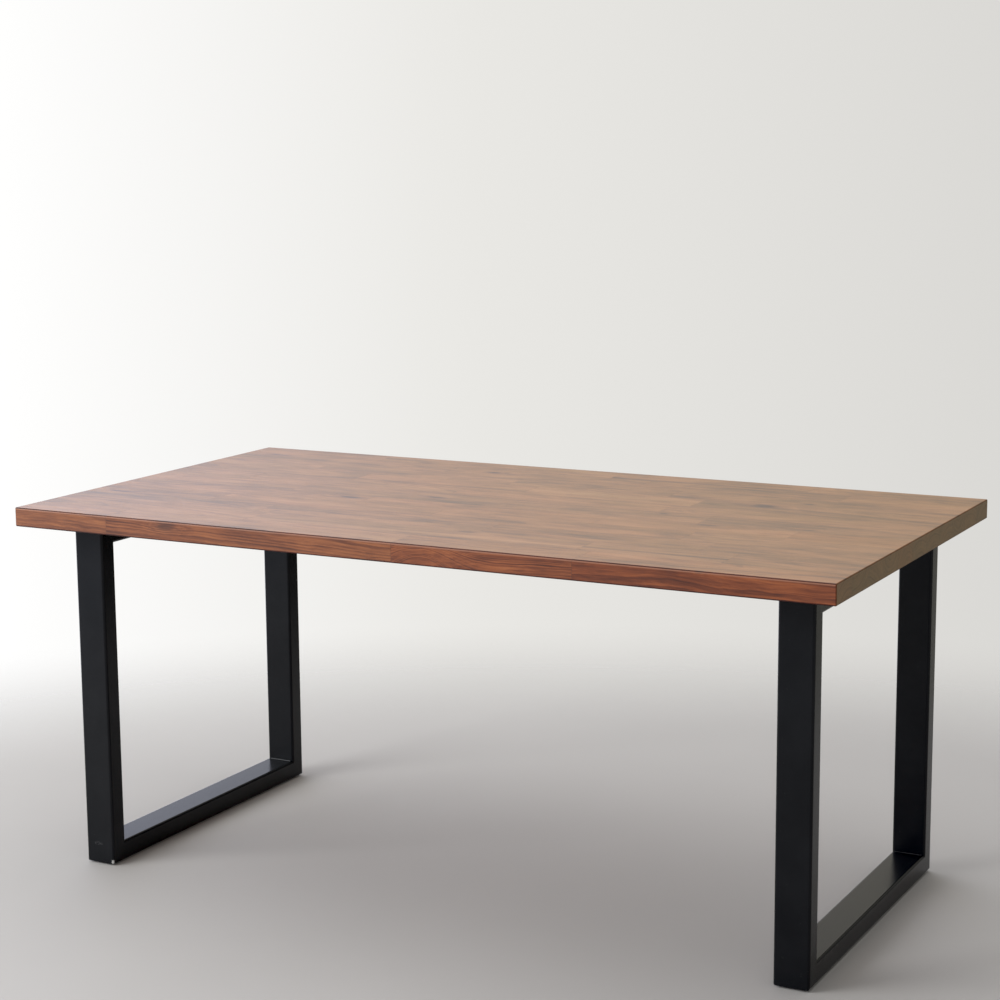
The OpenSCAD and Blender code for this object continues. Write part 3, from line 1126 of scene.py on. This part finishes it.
def make_fasteners(side, black_zinc, brass):
    """The bolts, washers and threaded inserts of a plate, each turned its own way."""
    bolt_low, bolt_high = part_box(f"{side}_plate_bolts")
    washer_low, washer_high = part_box(f"{side}_plate_washers")
    insert_low, insert_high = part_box(f"{side}_threaded_inserts")
    head = hex_mesh("head", bolt_low.z, washer_low.z)
    shank = thread_mesh("shank", M8_R, M8_ROOT_R, M8_PITCH, washer_low.z - SHANK_IN_HEAD, bolt_high.z,
                        around=20, per_turn=6)
    washer = washer_mesh(washer_low.z, washer_high.z)
    insert = thread_mesh("insert", INSERT_R, INSERT_ROOT_R, INSERT_PITCH, insert_low.z, insert_high.z,
                         bore=M8_BORE_R, around=36, per_turn=10)
    groups = (
        ("plate_bolts", [head, shank], black_zinc, "black_zinc"),
        ("plate_washers", [washer], black_zinc, "black_zinc"),
        ("threaded_inserts", [insert], brass, "brass"),
    )
    rng = random.Random(side)
    for group, shapes, material, slot in groups:
        parts = []
        for x, y in bolt_places(side):
            spin = Matrix.Rotation(rng.uniform(0, math.pi), 4, "Z")
            parts += [(shape, Matrix.Translation((x, y, 0)) @ spin) for shape in shapes]
        name = f"{side}_{group}_detailed"
        add_piece(name, joined(name, parts), material, TABLE, [f"{side}_{group}"])


def make_weld_nuts(side, x, zinc):
    low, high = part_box(f"{side}_weld_nuts")
    nut = hex_mesh("nut", low.z, high.z, bore=M8_BORE_R, chamfer_top=True)
    name = f"{side}_weld_nuts_detailed"
    mesh = joined(name, [(nut, Matrix.Translation((x, y, 0))) for y in glide_ys(side)])
    add_piece(name, mesh, zinc, TABLE, [f"{side}_weld_nuts"])


# --- glides ---

FLANGE_R = 7.0 * MM
FLANGE_THICK = 1.0 * MM
STUD_NECK_R = 4.4 * MM  # the hole in the disc that the stud comes out of
FOOT_BEVEL = 0.8 * MM
DISC_EDGE = 0.35 * MM


def disc_profile(radius, top, flange_low):
    """The disc from the middle of its foot, round its edge, into its hollow for the flange."""
    flange_high = flange_low + FLANGE_THICK
    return [
        (0, 0.0),
        (radius - FOOT_BEVEL - DISC_EDGE, 0.0),
        (radius - FOOT_BEVEL + DISC_EDGE * 0.2, 0.12 * MM),
        (radius - 0.15 * MM, FOOT_BEVEL - 0.1 * MM),
        (radius, FOOT_BEVEL + DISC_EDGE),
        (radius, top - DISC_EDGE),
        (radius - 0.12 * MM, top - 0.1 * MM),
        (radius - DISC_EDGE, top),
        (STUD_NECK_R, top),
        (STUD_NECK_R, flange_high),
        (FLANGE_R, flange_high),
        (FLANGE_R, flange_low),
        (0, flange_low),
    ]


def make_glide(side, end, nylon_black, zinc):
    body = f"{side}_{end}_glide"
    low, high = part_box(body + "_disc")
    stud_low, stud_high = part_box(body + "_stud")
    place = Matrix.Translation((*middle_of(body + "_disc"), 0))
    profile = disc_profile((high.x - low.x) / 2, high.z, stud_low.z)
    disc = lathe(body + "_disc_moulded", profile, 72, closed=False)
    disc.transform(place)
    add_piece(disc.name, disc, nylon_black, body, [body + "_disc"])

    flange_high = stud_low.z + FLANGE_THICK
    flange = round_bar("flange", FLANGE_R, stud_low.z, flange_high, 48)
    rod_low = stud_low.z + FLANGE_THICK / 2
    rod = thread_mesh("rod", M8_R, M8_ROOT_R, M8_PITCH, rod_low, stud_high.z)
    stud = joined(body + "_stud_threaded", [(flange, place), (rod, place)])
    add_piece(stud.name, stud, zinc, body, [body + "_stud"])


# --- stage ---

FLOOR_HALF = 8  # metres from the middle to the floor's edge
FLOOR_CENTRE = (0.51, -0.97, 0.0)  # the floor is solid round this point, and fades out beyond
FLOOR_SOLID = 1.95
FLOOR_GONE = 3.2
# The light round the room, by compass direction: -X, -Y, +X, +Y and back to -X
WALL_LIGHT = [
    (0.00, rgb(1.70, 1.76, 1.98)),
    (0.15, rgb(0.74, 0.76, 0.83)),
    (0.27, rgb(0.55, 0.555, 0.57)),
    (0.38, rgb(0.68, 0.68, 0.67)),
    (0.53, rgb(0.66, 0.66, 0.64)),
    (0.60, rgb(0.10, 0.10, 0.095)),
    (0.66, rgb(0.10, 0.10, 0.095)),
    (0.715, rgb(0.44, 0.43, 0.38)),
    (0.77, rgb(0.47, 0.445, 0.365)),
    (0.80, rgb(0.67, 0.64, 0.56)),
    (0.83, rgb(0.80, 0.79, 0.78)),
    (0.845, rgb(1.02, 1.06, 1.22)),
    (0.87, rgb(1.44, 1.50, 1.80)),
    (1.00, rgb(1.70, 1.76, 1.98)),
]
CEILING_LIGHT = rgb(0.34, 0.34, 0.34)
BACKDROP = [
    (0.00, rgb(0.90, 0.90, 0.90)),
    (0.25, rgb(0.66, 0.66, 0.66)),
    (0.65, rgb(0.66, 0.655, 0.64)),
    (0.79, rgb(0.70, 0.69, 0.665)),
    (0.83, rgb(0.82, 0.81, 0.78)),
    (0.87, rgb(1.05, 1.05, 1.05)),
    (1.00, rgb(0.90, 0.90, 0.90)),
]
BLACK_LEVEL = 0.006


def floor_paint():
    """Plain pale floor that fades into the backdrop."""
    g = paint("floor")
    place = g.place()
    cloud = g.noise(place, 1.5, 3.0, 0.6)
    colour = g.mix(cloud, rgb(0.48, 0.462, 0.44), rgb(0.52, 0.50, 0.478))
    away = g.vector("LENGTH", g.vector("SUBTRACT", place, FLOOR_CENTRE))
    return g.finish(Base_Color=colour, Roughness=0.75, Alpha=g.fade(away, FLOOR_GONE, FLOOR_SOLID))


def make_floor():
    mesh = bpy.data.meshes.new("floor")
    corners = [(x * FLOOR_HALF, y * FLOOR_HALF, 0) for x, y in ((-1, -1), (1, -1), (1, 1), (-1, 1))]
    mesh.from_pydata(corners, [], [(0, 1, 2, 3)])
    mesh.materials.append(floor_paint())
    floor = add_object("floor", mesh)


def make_world():
    """Soft light from all round, and a plain backdrop that only the camera sees."""
    world = bpy.data.worlds.new("studio")
    g = Graph(world)
    bpy.context.scene.world = world
    place = g.place("Generated")
    compass = g.node("ShaderNodeTexGradient", {0: place}, gradient_type="RADIAL").outputs["Fac"]
    up = g.fade(g.split(place)[2], 0.40, 0.90)
    lighting = g.mix(up, g.ramp(compass, WALL_LIGHT), CEILING_LIGHT)
    seen = g.node("ShaderNodeLightPath").outputs["Is Camera Ray"]
    sky = g.mix(seen, lighting, g.ramp(compass, BACKDROP))
    g.put(g.tree.nodes["Background"].inputs["Color"], sky)


def add_lamp(name, place, aim, size, power, colour):
    data = bpy.data.lights.new(name, "AREA")
    data.shape = "RECTANGLE"
    data.size, data.size_y = size
    data.energy = power
    data.color = colour
    lamp = add_object(name, data)
    lamp.location = place
    lamp.rotation_euler = (Vector(aim) - Vector(place)).to_track_quat("-Z", "Y").to_euler()
    lamp.visible_camera = False


def set_view():
    """A plain view, with its blacks pulled down a little."""
    view = bpy.context.scene.view_settings
    view.view_transform = "Standard"
    view.use_curve_mapping = True
    view.curve_mapping.black_level = (BLACK_LEVEL, BLACK_LEVEL, BLACK_LEVEL)
    view.curve_mapping.update()


def build():
    make_camera()
    make_top(walnut())
    coat = powder_coat()
    zinc = metal("zinc_steel", rgb(0.52, 0.53, 0.54), rgb(0.40, 0.41, 0.42), 0.24)
    black_zinc = metal("black_zinc", rgb(0.060, 0.062, 0.066), rgb(0.095, 0.095, 0.10), 0.30)
    brass = metal("brass", rgb(0.62, 0.44, 0.18), rgb(0.50, 0.35, 0.14), 0.26)
    nylon_black = nylon()
    for side in ("left", "right"):
        size = frame_size(side)
        make_tubes(side, size, coat)
        weld_corners(side, size, coat)
        make_plate(side, coat)
        weld_plate(side, size, coat)
        make_fasteners(side, black_zinc, brass)
        make_weld_nuts(side, size.x, zinc)
        for end in ("front", "back"):
            make_glide(side, end, nylon_black, zinc)
    make_floor()
    make_world()
    add_lamp("key", (-2.6, -2.8, 2.0), (-0.5, 0, 0.4), (2.0, 2.0), 85, (0.97, 0.99, 1.0))
    add_lamp("overhead", (-0.6, 0.6, 3.6), (0, 0, 0.4), (5.0, 4.0), 85, (1.0, 1.0, 1.0))
    set_view()


build()
